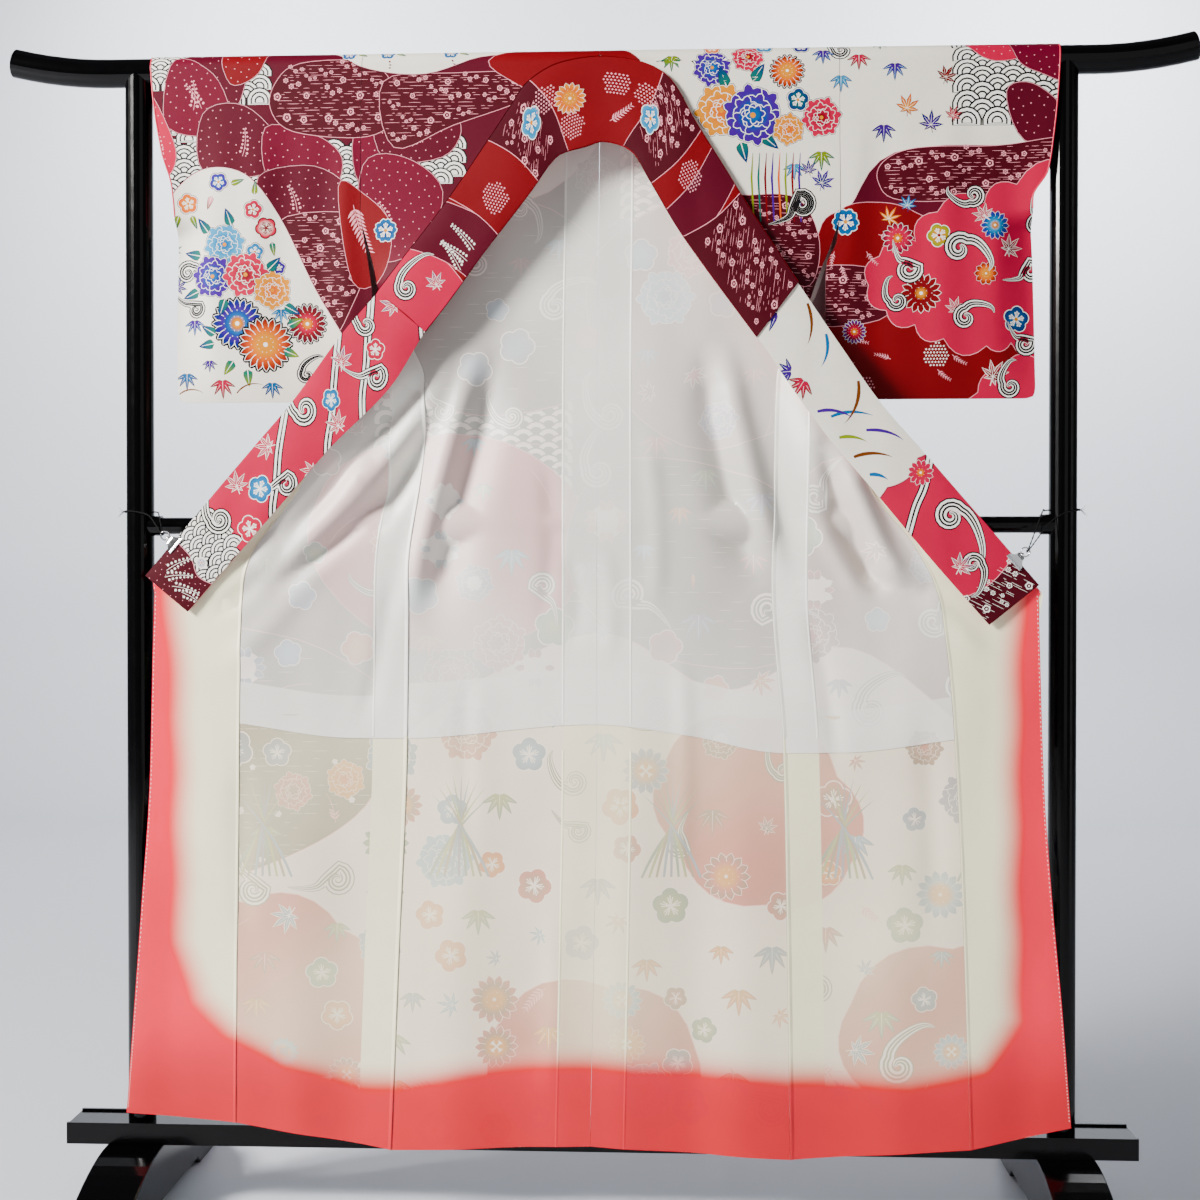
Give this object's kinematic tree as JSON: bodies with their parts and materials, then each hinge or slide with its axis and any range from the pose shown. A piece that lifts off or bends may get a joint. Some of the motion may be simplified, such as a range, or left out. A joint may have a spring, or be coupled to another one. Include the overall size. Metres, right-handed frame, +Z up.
{
  "type": "homongi kimono on kimono stand",
  "caption": "Lined homongi kimono hung opened out on a black lacquered kimono stand, clipped at the collar ends.",
  "frame": {"origin": "on the floor, midway between the posts and in their plane", "axes": "+X to the viewer's right along the bars, +Y away from the viewer who sees the lining, +Z up"},
  "size_m": [1.6886, 0.45, 1.6664],
  "materials": {
    "silk_print": "printed silk crepe, soft sheen",
    "white_silk": "thin plain white silk",
    "lower_lining": "cream silk shading to coral at the hem",
    "lacquer": "glossy black lacquer on wood",
    "clip_steel": "bright plated steel",
    "cord": "black elastic cord"
  },
  "bodies": {
    "root": {"back_left": "silk_print", "back_right": "silk_print", "front_left": "silk_print", "front_right": "silk_print", "okumi_left": "silk_print", "okumi_right": "silk_print", "sleeve_left": "silk_print", "sleeve_right": "silk_print", "doura_back_left": "white_silk", "doura_back_right": "white_silk", "doura_front_left": "white_silk", "doura_front_right": "white_silk", "hakkake_back_left": "lower_lining", "hakkake_back_right": "lower_lining", "hakkake_front_left": "lower_lining", "hakkake_front_right": "lower_lining", "hakkake_okumi_left": "lower_lining", "hakkake_okumi_right": "lower_lining", "post_left": "lacquer", "post_right": "lacquer", "foot_left": "lacquer", "foot_right": "lacquer", "clip_left": "clip_steel", "clip_right": "clip_steel", "tie_left": "cord", "tie_right": "cord", "collar": "silk_print", "over_collar": "silk_print", "top_bar": "lacquer", "mid_bar": "lacquer", "base_beam": "lacquer"}
  },
  "joints": []
}
